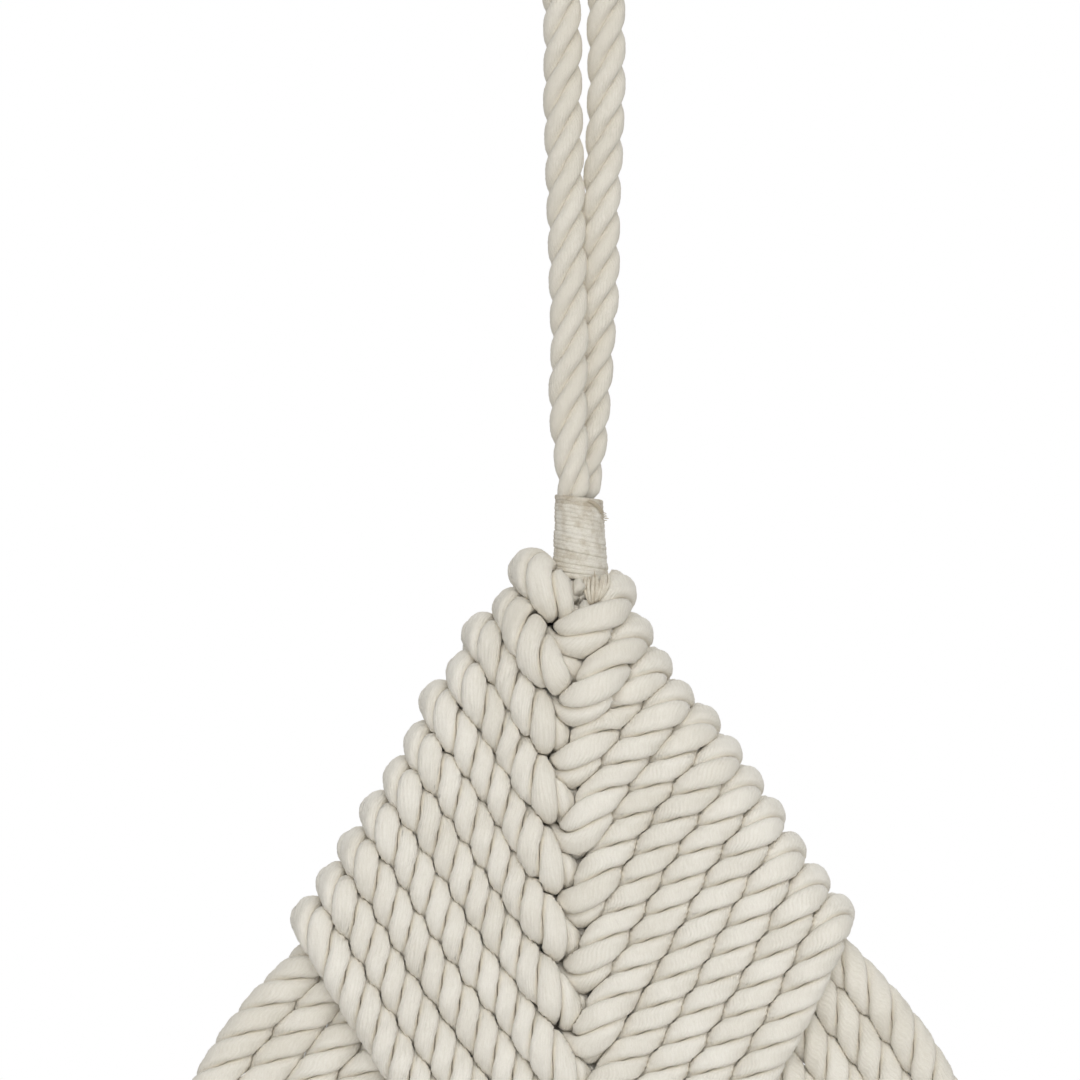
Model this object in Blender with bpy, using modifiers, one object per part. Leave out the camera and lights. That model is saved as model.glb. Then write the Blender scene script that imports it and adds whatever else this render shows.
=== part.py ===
"""Macrame wall hanging: a kite of plaited cotton rope that hangs from a loop.

Twenty-two lengths of three-strand rope are plaited into a flat, three-layered kite.
Eleven come round the left edge and eleven round the right edge. Each one crosses
the front to the spine, dives under the next rope from the other side, runs on
between the front and back layers, and leaves the far lower edge of the kite as a
hanging tail. A rope loop, bound with twine where its legs meet, carries the kite.

All sizes are in millimetres and are scaled to metres when an object is made.
+X is to the right, +Z is up, and the front faces -Y. The origin is at the inside
crown of the hanging loop, where a hook or nail carries it.
"""
import math

import bpy
import numpy as np

MM = 0.001

# The rope and the gap that two pieces keep. It is plumper where it has the room
ROPE_RADIUS = 4.85
PLUMP_RADIUS = 5.1
CORE_RADIUS = 3.7
GAP = 0.3
LEAST_RADIUS = 1.6

# The lay of the rope: how far along it one strand takes to go round once. Plaiting
# shortens it
LAY_LENGTH = 28.4
LEG_LAY = 23.2
TWIST_STEPS = 6
GROOVE = 0.87
FIRST_TILT = 1.0
PLAIN_STEP = 10.0
CORE_STEP = 13.0
TAIL_STEP = 50.0

# The kite: depth of a layer, and where a rope dives from the front to the middle
LAYER = 9.4
DIVE_BEFORE = 6.0
DIVE_AFTER = 7.0
BULGE = 2.0
BACK_TUCK = 3.5
BACK_DROP = 8.0

# Each rope's way over the front of the kite, as x and z of its turn round the
# edge, of two points between, and of the spine where it dives
LEG_COLUMNS = ("edge_x", "edge_z", "upper_x", "upper_z", "lower_x", "lower_z", "dive_x", "dive_z")
LEFT_LEGS = (
    (-12.2, -238.6, -9.8, -241.4, -6.2, -245.6, -1.8, -250.4),
    (-16.8, -247.0, -14.9, -252.6, -10.0, -259.4, -4.0, -265.8),
    (-22.7, -250.9, -19.0, -260.6, -12.6, -269.2, -5.9, -277.1),
    (-27.0, -259.5, -23.3, -271.6, -14.2, -284.2, -4.7, -294.5),
    (-34.6, -268.4, -28.2, -281.6, -18.7, -295.3, -4.7, -313.2),
    (-38.6, -278.7, -32.0, -294.0, -19.5, -312.9, -4.7, -330.8),
    (-42.6, -286.8, -36.5, -304.0, -24.5, -325.3, -3.2, -347.4),
    (-48.9, -295.8, -39.8, -317.1, -27.6, -336.8, -2.4, -365.0),
    (-55.5, -306.3, -47.4, -323.7, -30.3, -349.5, -1.6, -386.1),
    (-59.2, -315.3, -47.6, -342.9, -24.7, -376.1, -0.8, -406.3),
    (-66.3, -328.2, -55.0, -350.3, -26.6, -392.4, 0.0, -424.8),
)
RIGHT_LEGS = (
    (8.6, -243.8, 5.4, -249.0, 0.2, -254.4, -3.6, -260.2),
    (12.7, -252.8, 8.3, -258.5, 2.5, -264.3, -4.6, -271.2),
    (18.0, -260.2, 12.2, -268.2, 4.5, -277.4, -4.2, -287.4),
    (22.6, -268.2, 16.2, -277.6, 7.2, -290.5, -3.6, -305.3),
    (29.3, -274.7, 18.7, -288.7, 7.9, -306.3, -2.1, -324.2),
    (34.0, -281.0, 22.5, -299.2, 11.1, -323.7, -0.5, -341.3),
    (40.8, -290.0, 30.7, -307.9, 14.5, -336.1, -0.5, -358.4),
    (47.0, -298.4, 36.4, -319.5, 18.9, -352.1, -0.5, -376.9),
    (51.6, -309.2, 40.6, -333.4, 21.6, -366.3, -0.3, -396.1),
    (56.5, -317.4, 45.8, -344.5, 25.0, -379.5, 0.0, -415.0),
    (61.4, -324.7, 52.3, -353.7, 29.0, -391.3, 0.0, -433.4),
)

# The tails: they bend to hang straight, in arcs about one centre on each side
TAIL_ARC_Z = -432.0
TAIL_ARC_RADIUS = 130.0
TAIL_LEAN = math.radians(51.0)
LEFT_TAIL_X = -112.0
LEFT_TAIL_PITCH = 10.35
RIGHT_TAIL_X = 109.4
RIGHT_TAIL_PITCH = 10.4
FIXED_BELOW = -436.0
TAIL_END_Z = -700.0
TAIL_END_SPREAD = 5.0
TAIL_SWAY = 1.2

# The hanging loop: its legs from the whipping up, as x, y and z, and its bight
LOOP_LEFT = (
    (-1.1, -3.1, -239.5), (-1.1, -3.1, -226.0), (-1.2, -3.1, -214.5),
    (-2.3, -3.7, -203.0), (-3.2, -3.6, -190.0), (-2.8, -3.0, -176.0),
    (-3.2, -2.0, -158.0), (-3.8, -1.4, -137.0), (-4.5, -0.7, -111.0), (-4.8, 0.0, -86.0),
    (-7.0, 0.0, -66.0), (-11.3, 0.0, -46.0), (-15.1, 0.0, -27.0),
)
LOOP_RIGHT = (
    (1.5, 3.1, -239.5), (1.5, 3.1, -226.0), (1.6, 3.1, -214.5),
    (2.3, 3.7, -203.0), (3.0, 3.6, -190.0), (4.2, 3.0, -176.0),
    (5.2, 2.0, -158.0), (5.7, 1.4, -137.0), (6.9, 0.7, -111.0), (6.9, 0.0, -86.0),
    (8.0, 0.0, -66.0), (11.8, 0.0, -46.0), (15.2, 0.0, -27.0),
)
BIGHT_RADIUS = 16.0
BOUND_RADIUS = 2.75
PINCH_LENGTH = 8.0

# The whipping: turns of twine round both legs of the loop
WHIPPING_TOP = -215.0
WHIPPING_BOTTOM = -236.5
WHIPPING_TURNS = 14
WHIPPING_X = 0.2
WHIPPING_FLAT = 4.5
WHIPPING_HOLE = 5.5
WHIPPING_TOP_RADIUS = 6.5
WHIPPING_BOTTOM_RADIUS = 7.5
WHIPPING_VALLEY = 0.35
WHIPPING_DEEPER = 1.27
WHIPPING_SIDES = 16

# The tuft of frayed yarn just under the whipping, as x, y and z along it
TUFT_ROUTE = ((2.9, -9.0, -237.4), (2.9, -10.0, -238.8), (2.7, -10.8, -240.2), (2.3, -11.2, -241.4))
TUFT_RADII = (1.3, 2.1, 1.9, 0.8)

# Settling: the ropes are pushed apart until they lie side by side
POINT_STEP = 3.0
SETTLE_ROUNDS = 240
NEAR = 16.0
NEIGHBOURS = 6
HOME_PULL = 0.015
SMOOTHING = 0.30

COTTON = (0.80, 0.74, 0.63, 1.0)
TWINE = (0.74, 0.68, 0.58, 1.0)
FRAYED = (0.52, 0.44, 0.34, 1.0)


# ---------------------------------------------------------------- curves
def smooth_line(points, step):
    """A smooth line through the points, with a point every step along it.

    It is timed by the root of each stretch's length, so that a short stretch beside a
    long one doesn't swing out.
    """
    points = np.asarray(points, float)
    padded = np.vstack((2 * points[0] - points[1], points, 2 * points[-1] - points[-2]))
    spans = np.linalg.norm(np.diff(padded, axis=0), axis=1)[:, None] ** 0.5
    slopes = np.diff(padded, axis=0) / spans
    slopes = (slopes[:-1] * spans[1:] + slopes[1:] * spans[:-1]) / (spans[:-1] + spans[1:])
    parts = []
    for start, end, leave, arrive, span in zip(points, points[1:], slopes, slopes[1:], spans[1:]):
        t = np.linspace(0.0, 1.0, 24, endpoint=False)[:, None]
        parts.append((2 * t ** 3 - 3 * t ** 2 + 1) * start + (3 * t ** 2 - 2 * t ** 3) * end
                     + span * ((t ** 3 - 2 * t ** 2 + t) * leave + (t ** 3 - t ** 2) * arrive))
    parts.append(points[-1:])
    return resample(np.vstack(parts), step)


def arc_lengths(line):
    """How far along the line each of its points is."""
    return np.concatenate(([0.0], np.cumsum(np.linalg.norm(np.diff(line, axis=0), axis=1))))


def at_lengths(line, lengths):
    """Points of the line at the given distances along it."""
    along = arc_lengths(line)
    return np.stack([np.interp(lengths, along, line[:, axis]) for axis in range(3)], axis=1)


def resample(line, step):
    """The same line with its points evenly spaced."""
    if line.shape[1] == 2:
        line = np.insert(line, 1, 0.0, axis=1)
    total = arc_lengths(line)[-1]
    count = max(2, round(total / step) + 1)
    return at_lengths(line, np.linspace(0.0, total, count))


def ease(value):
    """Zero below 0, one above 1, and a smooth step between."""
    value = np.clip(value, 0.0, 1.0)
    return value * value * (3.0 - 2.0 * value)


# ---------------------------------------------------------------- routes
def tail_points(side, number, dive):
    """x and z of a tail, from below its dive to where it hangs straight."""
    if side > 0:
        hang_x = RIGHT_TAIL_X - RIGHT_TAIL_PITCH * number
        centre_x = RIGHT_TAIL_X - TAIL_ARC_RADIUS
    else:
        hang_x = LEFT_TAIL_X + LEFT_TAIL_PITCH * number
        centre_x = LEFT_TAIL_X + TAIL_ARC_RADIUS
    radius = abs(hang_x - centre_x)
    points = []
    for angle in np.linspace(math.pi / 2 - TAIL_LEAN, 0.0, 5):
        x = centre_x + side * radius * math.cos(angle)
        z = TAIL_ARC_Z + radius * math.sin(angle)
        if z < dive[1] - 9.0:
            points.append((x, z))
    lowest = min([dive[1]] + [z for _, z in points] + [TAIL_ARC_Z])
    return points + [(hang_x, lowest - 17.0), (hang_x, lowest - 34.0)]


def rope_route(side, number, row):
    """One plaited rope: from its end on the back, round the edge, to its tail.

    side is -1 for a rope that comes round the left edge and 1 for the right. The
    numbers of the points where it turns round the edge and dives come with it.
    """
    leg = dict(zip(LEG_COLUMNS, row))
    corners = [(leg[name + "_x"], leg[name + "_z"]) for name in ("edge", "upper", "lower", "dive")]
    leg_length = arc_lengths(smooth_line(corners, POINT_STEP))[-1]
    front = smooth_line(corners + tail_points(-side, number, corners[-1]), POINT_STEP)
    along = arc_lengths(front)
    turned = np.sqrt(np.clip(1.0 - (1.0 - np.minimum(along, LAYER) / LAYER) ** 2, 0.0, 1.0))
    dived = ease((along - leg_length + DIVE_BEFORE) / (DIVE_BEFORE + DIVE_AFTER))
    crown = BULGE * np.exp(-((along - leg_length + 9.0) / 7.0) ** 2)
    front[:, 1] = -(LAYER * turned + crown) * (1.0 - dived)

    on_leg = along <= leg_length + 1.0
    back = front[on_leg][1:].copy()
    back[:, 2] -= BACK_DROP * ease(along[on_leg][1:] / leg_length)
    tucked = ease((along[on_leg][1:] - leg_length + 7.0) / 8.0)
    back[:, 1] = LAYER * turned[on_leg][1:] + crown[on_leg][1:] * (1.0 - tucked) - BACK_TUCK * tucked
    return np.vstack((back[::-1], front)), len(back), len(back) + int(np.sum(on_leg)) - 1


def hanging_tail(line, number, side):
    """The settled rope, and on down to its cut end with a slight sway in depth."""
    x, y, z = line[-1]
    end_z = TAIL_END_Z + TAIL_END_SPREAD * math.sin(5.1 * number + side)
    levels = np.linspace(z, end_z, max(2, round((z - end_z) / TAIL_STEP)) + 1)[1:]
    sway = TAIL_SWAY * ease((z - levels) / 60.0) * np.sin(2.4 * number + side + levels / 47.0)
    return np.stack((np.full_like(levels, x), y + sway, levels), axis=1)


def loop_route():
    """The hanging loop, up its left leg, round the bight and down its right leg."""
    crown_z = ROPE_RADIUS - BIGHT_RADIUS
    bight = [(-BIGHT_RADIUS * math.cos(angle), 0.0, crown_z + BIGHT_RADIUS * math.sin(angle))
             for angle in np.linspace(0.0, math.pi, 9)]
    return smooth_line(list(LOOP_LEFT) + bight + list(reversed(LOOP_RIGHT)), 2.0)


def whipping_core():
    """Points down the middle of the whipping, that the ropes stay clear of.

    They end above its flat bottom, where the first ropes come close.
    """
    levels = np.arange(WHIPPING_TOP, WHIPPING_BOTTOM + WHIPPING_FLAT, -POINT_STEP)
    return np.stack((np.full_like(levels, WHIPPING_X), np.zeros_like(levels), levels), axis=1)


# ---------------------------------------------------------------- settling
def close_pairs(points, owner, order):
    """Pairs of points that may touch: on two ropes, or far apart on one."""
    firsts, seconds = [], []
    for index in range(len(points) - 1):
        offset = points[index + 1:] - points[index]
        near = np.einsum("ij,ij->i", offset, offset) < NEAR ** 2
        apart = (owner[index + 1:] != owner[index]) | (order[index + 1:] - order[index] > NEIGHBOURS)
        hits = np.nonzero(near & apart)[0] + index + 1
        firsts.append(np.full(len(hits), index))
        seconds.append(hits)
    return np.concatenate(firsts), np.concatenate(seconds)


def settle(routes, dives, posts):
    """Push the ropes apart until they lie side by side without meeting.

    Past its dive a rope is pressed between the layers and takes less room. posts
    are (points, radius) of the pieces that don't give way.
    """
    lines = [line.copy() for line in routes] + [points for points, _ in posts]
    reaches = []
    for line, dive in zip(routes, dives):
        hidden = (np.arange(len(line)) > dive + 2) & (line[:, 2] > TAIL_ARC_Z)
        reaches.append(np.where(hidden, CORE_RADIUS, ROPE_RADIUS))
    reach = np.concatenate(reaches + [np.full(len(points), radius) for points, radius in posts])
    points = np.vstack(lines)
    owner = np.repeat(np.arange(len(lines)), [len(line) for line in lines])
    order = np.concatenate([np.arange(len(line)) for line in lines])
    home = points.copy()
    free = (owner < len(routes)) & (home[:, 2] > FIXED_BELOW)
    inner = np.zeros(len(points), bool)
    inner[1:-1] = (owner[1:-1] == owner[:-2]) & (owner[1:-1] == owner[2:])
    middle = np.nonzero(inner & free)[0]
    for turn in range(SETTLE_ROUNDS):
        if turn % 12 == 0:
            first, second = close_pairs(points, owner, order)
        last = turn > 0.8 * SETTLE_ROUNDS
        away = points - home
        mean = 0.5 * (away[middle - 1] + away[middle + 1])
        points[middle] += SMOOTHING * (mean - away[middle])
        if not last:
            points[free] -= HOME_PULL * away[free]
        offset = points[first] - points[second]
        distance = np.maximum(np.linalg.norm(offset, axis=1), 0.01)
        short = reach[first] + reach[second] + GAP - distance
        hit = short > 0.0
        a, b = first[hit], second[hit]
        share = np.where(free[a] & free[b], 0.5, 1.0)
        push = (offset[hit] / distance[hit, None]) * (short[hit] * share)[:, None]
        moved = np.zeros_like(points)
        count = np.zeros(len(points))
        np.add.at(moved, a, push)
        np.add.at(moved, b, -push)
        np.add.at(count, a, 1.0)
        np.add.at(count, b, 1.0)
        moved /= np.maximum(1.0, 0.6 * count)[:, None]
        points[free] += moved[free]
    ends = np.cumsum([len(line) for line in lines])
    return [points[end - len(line):end] for line, end in zip(lines, ends)][:len(routes)]


def gap_to(points, line):
    """The distance from each point to the line, straight between its points."""
    best = np.full(len(points), np.inf)
    for start, end in zip(line[:-1], line[1:]):
        run = end - start
        share = np.clip((points - start) @ run / max(run @ run, 1e-9), 0.0, 1.0)
        best = np.minimum(best, np.linalg.norm(points - start - share[:, None] * run, axis=1))
    return best


def room(stations, others, posts):
    """The radius that each station may have without meeting another piece."""
    shares = (-0.5, -0.25, 0.0, 0.25, 0.5)
    radius = np.full(len(stations), PLUMP_RADIUS)
    before = np.vstack((stations[:1], stations[:-1]))
    after = np.vstack((stations[1:], stations[-1:]))
    low, high = stations.min(axis=0) - NEAR, stations.max(axis=0) + NEAR
    for share in shares:
        probe = stations + abs(share) * ((after if share > 0 else before) - stations)
        for line in others:
            if np.all(line.min(axis=0) < high) and np.all(line.max(axis=0) > low):
                radius = np.minimum(radius, 0.5 * (gap_to(probe, line) - GAP))
        for points, reach in posts:
            radius = np.minimum(radius, gap_to(probe, points) - reach - GAP)
    return np.maximum(radius, LEAST_RADIUS)


def loop_radii(stations):
    """The radius along the loop: its legs squeeze each other and the twine both."""
    half = len(stations) // 2
    apart = NEIGHBOURS
    left, right = stations[:half - apart], stations[half + apart:]
    radii = np.concatenate((room(left, [right], []), np.full(2 * apart, ROPE_RADIUS),
                            room(right, [left], [])))
    pinch = ease((WHIPPING_TOP + PINCH_LENGTH - stations[:, 2]) / PINCH_LENGTH)
    return np.minimum(radii, ROPE_RADIUS + pinch * (BOUND_RADIUS - ROPE_RADIUS))


# ---------------------------------------------------------------- objects
def clear_scene():
    """Remove whatever the new file holds."""
    for thing in list(bpy.data.objects):
        bpy.data.objects.remove(thing, do_unlink=True)


def new_collection(name):
    """A collection of the scene for the parts or for their guides."""
    collection = bpy.data.collections.new(name)
    bpy.context.scene.collection.children.link(collection)
    return collection


def new_material(name, colour):
    """A dull cotton finish of the given colour."""
    material = bpy.data.materials.new(name)
    material.use_nodes = True
    shader = material.node_tree.nodes["Principled BSDF"]
    shader.inputs["Base Color"].default_value = colour
    shader.inputs["Roughness"].default_value = 0.95
    shader.inputs["Metallic"].default_value = 0.0
    material.diffuse_color = colour
    return material


def ridged_profile(name, ridges, groove, guides):
    """A closed outline of unit radius with round ridges, one for each strand."""
    curve = bpy.data.curves.new(name, "CURVE")
    curve.dimensions = "2D"
    spline = curve.splines.new("POLY")
    spline.points.add(2 * ridges - 1)
    spline.use_cyclic_u = True
    for index, point in enumerate(spline.points):
        angle = -math.pi * index / ridges
        radius = MM * (1.0 if index % 2 == 0 else groove)
        point.co = (radius * math.cos(angle), radius * math.sin(angle), 0.0, 1.0)
    profile = bpy.data.objects.new(name, curve)
    profile.hide_render = True
    profile.display_type = "WIRE"
    guides.objects.link(profile)
    return profile


def tube(name, stations, radii, tilts, profile, material, parts):
    """A rope as a curve through its stations, with a radius and a tilt at each."""
    curve = bpy.data.curves.new(name, "CURVE")
    curve.dimensions = "3D"
    curve.bevel_mode = "OBJECT"
    curve.bevel_object = profile
    curve.use_fill_caps = True
    spline = curve.splines.new("POLY")
    spline.points.add(len(stations) - 1)
    for point, place, radius, tilt in zip(spline.points, stations, radii, tilts):
        point.co = (*(MM * place), 1.0)
        point.radius = radius
        point.tilt = tilt
    rope = bpy.data.objects.new(name, curve)
    rope.data.materials.append(material)
    parts.objects.link(rope)
    return rope


def spaced(start, end, step):
    """Distances from start to before end, a whole number of equal steps."""
    count = max(1, math.ceil((end - start) / step - 0.001))
    return list(np.linspace(start, end, count, endpoint=False))


def station_lengths(along, turn, dive, end):
    """Where a plaited rope's outline is set: closely where its twist shows."""
    twist_start = max(along[turn] - LAYER, 0.0)
    twist_end = along[dive] + 4.0
    lengths = spaced(0.0, twist_start, PLAIN_STEP) if twist_start > 1.0 else []
    lengths += spaced(twist_start, twist_end, LEG_LAY / TWIST_STEPS)
    lengths += spaced(twist_end, end, CORE_STEP)
    return np.array(lengths + [end]), twist_start, twist_end


def twist_tilts(lengths, start, end, lay):
    """The turn of the outline at each station: steady from start to end."""
    return FIRST_TILT + 2.0 * math.pi / lay * (np.clip(lengths, start, end) - start)


def add_whipping(material, parts):
    """The twine whipping: a ridged sleeve, deeper than it is wide."""
    curve_points = [(WHIPPING_HOLE, WHIPPING_BOTTOM), (WHIPPING_HOLE, WHIPPING_TOP)]
    for half in range(2 * WHIPPING_TURNS + 1):
        share = half / (2 * WHIPPING_TURNS)
        radius = WHIPPING_TOP_RADIUS + (WHIPPING_BOTTOM_RADIUS - WHIPPING_TOP_RADIUS) * share
        if half % 2 == 0:
            radius -= WHIPPING_VALLEY
        curve_points.append((radius, WHIPPING_TOP + (WHIPPING_BOTTOM - WHIPPING_TOP) * share))
    mesh = bpy.data.meshes.new("whipping")
    edges = [(i, (i + 1) % len(curve_points)) for i in range(len(curve_points))]
    mesh.from_pydata([(MM * r, 0.0, MM * z) for r, z in curve_points], edges, [])
    sleeve = bpy.data.objects.new("whipping", mesh)
    sleeve.data.materials.append(material)
    sleeve.location.x = MM * WHIPPING_X
    sleeve.scale.y = WHIPPING_DEEPER
    parts.objects.link(sleeve)
    turned = sleeve.modifiers.new("turned", "SCREW")
    turned.steps = WHIPPING_SIDES
    turned.render_steps = WHIPPING_SIDES
    turned.use_merge_vertices = True
    turned.merge_threshold = 0.00001
    return sleeve


def build():
    """Make every piece of the wall hanging."""
    clear_scene()
    parts = new_collection("macrame_wall_hanging")
    guides = new_collection("guides")
    cotton = new_material("cotton_rope", COTTON)
    twine = new_material("twine", TWINE)
    frayed = new_material("frayed_yarn", FRAYED)
    strands = ridged_profile("strand_outline", 3, GROOVE, guides)
    yarns = ridged_profile("yarn_outline", 4, 0.6, guides)

    names, routes, marks = [], [], []
    for side, word, legs in ((-1, "left", LEFT_LEGS), (1, "right", RIGHT_LEGS)):
        for number, row in enumerate(legs):
            line, turn, dive = rope_route(side, number, row)
            names.append(f"rope_{word}_{number + 1:02d}")
            routes.append(line)
            marks.append((side, number, turn, dive))
    loop = loop_route()
    legs_below = loop[loop[:, 2] < WHIPPING_BOTTOM + 1.0]
    left_end = legs_below[legs_below[:, 1] < 0.0]
    right_end = legs_below[legs_below[:, 1] > 0.0]
    core = whipping_core()
    posts = [(core, WHIPPING_BOTTOM_RADIUS + 0.3), (left_end, BOUND_RADIUS),
             (right_end, BOUND_RADIUS)]
    settled = settle(routes, [dive for _, _, _, dive in marks], posts)

    ropes = []
    for line, (side, number, turn, dive) in zip(settled, marks):
        along = arc_lengths(line)
        lengths, start, end = station_lengths(along, turn, dive, along[-1])
        stations = at_lengths(line, lengths)
        tilts = twist_tilts(lengths, start, end, LEG_LAY)
        tail = hanging_tail(line, number, side)
        tilts = np.concatenate((tilts, np.full(len(tail), tilts[-1])))
        ropes.append((np.vstack((stations, tail)), tilts))

    whole_loop = np.arange(0.0, arc_lengths(loop)[-1], LAY_LENGTH / TWIST_STEPS)
    loop_stations = at_lengths(loop, whole_loop)
    loop_tilts = twist_tilts(whole_loop, 0.0, whole_loop[-1], LAY_LENGTH)
    ropes.append((loop_stations, loop_tilts))
    names.append("hanging_loop")

    for number, (name, (stations, tilts)) in enumerate(zip(names, ropes)):
        others = [line for index, (line, _) in enumerate(ropes) if index != number]
        if name == "hanging_loop":
            radii = loop_radii(stations)
        else:
            radii = room(stations, others, [(core, WHIPPING_BOTTOM_RADIUS)])
        tube(name, stations, radii, tilts, strands, cotton, parts)

    add_whipping(twine, parts)
    tuft = np.array(TUFT_ROUTE)
    free = np.min([gap_to(tuft, line) for line, _ in ropes], axis=0) - PLUMP_RADIUS - GAP
    radii = np.maximum(np.minimum(TUFT_RADII, free), LEAST_RADIUS)
    tube("tuft", tuft, radii, np.zeros(len(tuft)), yarns, frayed, parts)


build()
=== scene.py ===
"""The macrame wall hanging's looks: laid cotton ropes, twine whipping and a frayed tuft.

Lengths are in millimetres, as in the part's source, and become metres in the meshes.
The plaited ropes follow the same centre lines as the CAD solids that they stand for,
and the curves, routes and settling are worked out as in the part's source. The loop's
ends go further than its solid's, and LOOP_SHIFT moves its legs aside at the whipping.
The right-hand ropes have a longer lay than their solids, whose tails have no twist.
"""
import math

import bpy
import numpy as np
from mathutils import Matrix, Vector
from mathutils.kdtree import KDTree


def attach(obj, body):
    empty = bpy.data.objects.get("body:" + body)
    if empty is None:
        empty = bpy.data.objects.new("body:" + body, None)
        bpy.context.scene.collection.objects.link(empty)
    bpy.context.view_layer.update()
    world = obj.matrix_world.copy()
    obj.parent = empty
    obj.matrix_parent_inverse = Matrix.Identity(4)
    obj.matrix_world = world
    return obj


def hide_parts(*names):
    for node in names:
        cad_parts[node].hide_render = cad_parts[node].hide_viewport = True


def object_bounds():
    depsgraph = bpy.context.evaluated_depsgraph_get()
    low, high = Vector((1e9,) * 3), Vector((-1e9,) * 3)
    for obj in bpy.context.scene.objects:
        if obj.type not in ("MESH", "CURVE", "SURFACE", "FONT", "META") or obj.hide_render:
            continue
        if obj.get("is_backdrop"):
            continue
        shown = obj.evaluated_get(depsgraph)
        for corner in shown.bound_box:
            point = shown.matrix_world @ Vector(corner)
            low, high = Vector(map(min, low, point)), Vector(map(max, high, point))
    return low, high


MM = 0.001

# ---------------- routes' values
ROPE_RADIUS = 4.85
CORE_RADIUS = 3.7
GAP = 0.3

# The kite: depth of a layer, and where a rope dives from the front to the middle
LAYER = 9.4
DIVE_BEFORE = 6.0
DIVE_AFTER = 7.0
BULGE = 2.0
BACK_TUCK = 3.5
BACK_DROP = 8.0

# Each rope's way over the front of the kite, as x and z of its turn round the
# edge, of two points between, and of the spine where it dives
LEG_COLUMNS = ("edge_x", "edge_z", "upper_x", "upper_z", "lower_x", "lower_z", "dive_x", "dive_z")
LEFT_LEGS = (
    (-12.2, -238.6, -9.8, -241.4, -6.2, -245.6, -1.8, -250.4),
    (-16.8, -247.0, -14.9, -252.6, -10.0, -259.4, -4.0, -265.8),
    (-22.7, -250.9, -19.0, -260.6, -12.6, -269.2, -5.9, -277.1),
    (-27.0, -259.5, -23.3, -271.6, -14.2, -284.2, -4.7, -294.5),
    (-34.6, -268.4, -28.2, -281.6, -18.7, -295.3, -4.7, -313.2),
    (-38.6, -278.7, -32.0, -294.0, -19.5, -312.9, -4.7, -330.8),
    (-42.6, -286.8, -36.5, -304.0, -24.5, -325.3, -3.2, -347.4),
    (-48.9, -295.8, -39.8, -317.1, -27.6, -336.8, -2.4, -365.0),
    (-55.5, -306.3, -47.4, -323.7, -30.3, -349.5, -1.6, -386.1),
    (-59.2, -315.3, -47.6, -342.9, -24.7, -376.1, -0.8, -406.3),
    (-66.3, -328.2, -55.0, -350.3, -26.6, -392.4, 0.0, -424.8),
)
RIGHT_LEGS = (
    (8.6, -243.8, 5.4, -249.0, 0.2, -254.4, -3.6, -260.2),
    (12.7, -252.8, 8.3, -258.5, 2.5, -264.3, -4.6, -271.2),
    (18.0, -260.2, 12.2, -268.2, 4.5, -277.4, -4.2, -287.4),
    (22.6, -268.2, 16.2, -277.6, 7.2, -290.5, -3.6, -305.3),
    (29.3, -274.7, 18.7, -288.7, 7.9, -306.3, -2.1, -324.2),
    (34.0, -281.0, 22.5, -299.2, 11.1, -323.7, -0.5, -341.3),
    (40.8, -290.0, 30.7, -307.9, 14.5, -336.1, -0.5, -358.4),
    (47.0, -298.4, 36.4, -319.5, 18.9, -352.1, -0.5, -376.9),
    (51.6, -309.2, 40.6, -333.4, 21.6, -366.3, -0.3, -396.1),
    (56.5, -317.4, 45.8, -344.5, 25.0, -379.5, 0.0, -415.0),
    (61.4, -324.7, 52.3, -353.7, 29.0, -391.3, 0.0, -433.4),
)

# The tails: they bend to hang straight, in arcs about one centre on each side
TAIL_ARC_Z = -432.0
TAIL_ARC_RADIUS = 130.0
TAIL_LEAN = math.radians(51.0)
LEFT_TAIL_X = -112.0
LEFT_TAIL_PITCH = 10.35
RIGHT_TAIL_X = 109.4
RIGHT_TAIL_PITCH = 10.4
FIXED_BELOW = -436.0
TAIL_END_Z = -700.0
TAIL_END_SPREAD = 5.0
TAIL_SWAY = 1.2

# The hanging loop: its legs from the whipping up, as x, y and z, and its bight
LOOP_LEFT = (
    (-1.1, -3.1, -239.5), (-1.1, -3.1, -226.0), (-1.2, -3.1, -214.5),
    (-2.3, -3.7, -203.0), (-3.2, -3.6, -190.0), (-2.8, -3.0, -176.0),
    (-3.2, -2.0, -158.0), (-3.8, -1.4, -137.0), (-4.5, -0.7, -111.0), (-4.8, 0.0, -86.0),
    (-7.0, 0.0, -66.0), (-11.3, 0.0, -46.0), (-15.1, 0.0, -27.0),
)
LOOP_RIGHT = (
    (1.5, 3.1, -239.5), (1.5, 3.1, -226.0), (1.6, 3.1, -214.5),
    (2.3, 3.7, -203.0), (3.0, 3.6, -190.0), (4.2, 3.0, -176.0),
    (5.2, 2.0, -158.0), (5.7, 1.4, -137.0), (6.9, 0.7, -111.0), (6.9, 0.0, -86.0),
    (8.0, 0.0, -66.0), (11.8, 0.0, -46.0), (15.2, 0.0, -27.0),
)
BIGHT_RADIUS = 16.0
BOUND_RADIUS = 2.75

# The whipping: turns of twine round both legs of the loop
WHIPPING_TOP = -215.0
WHIPPING_BOTTOM = -236.5
WHIPPING_X = 0.2
WHIPPING_FLAT = 4.5
WHIPPING_BOTTOM_RADIUS = 7.5
WHIPPING_DEEPER = 1.27
TWINE_TURNS = 19
TWINE_STEPS = 56
TWINE_SIDES = 10
TWINE_TOP_X = -0.3
TWINE_BOTTOM = -237.7
TWINE_TOP_RADIUS = 5.7
TWINE_BOTTOM_RADIUS = 6.9
WHIPPING_TAPER = 0.8
TWINE_THICK = 0.48
TWINE_WIDE = 0.70
TWINE_TAPER = 1.5

# How far the twine's turns lean: at the ends, at most, and where they lean most
TWINE_TILT = (0.08, 0.20)
TWINE_TILT_POWER = 1.2

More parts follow.
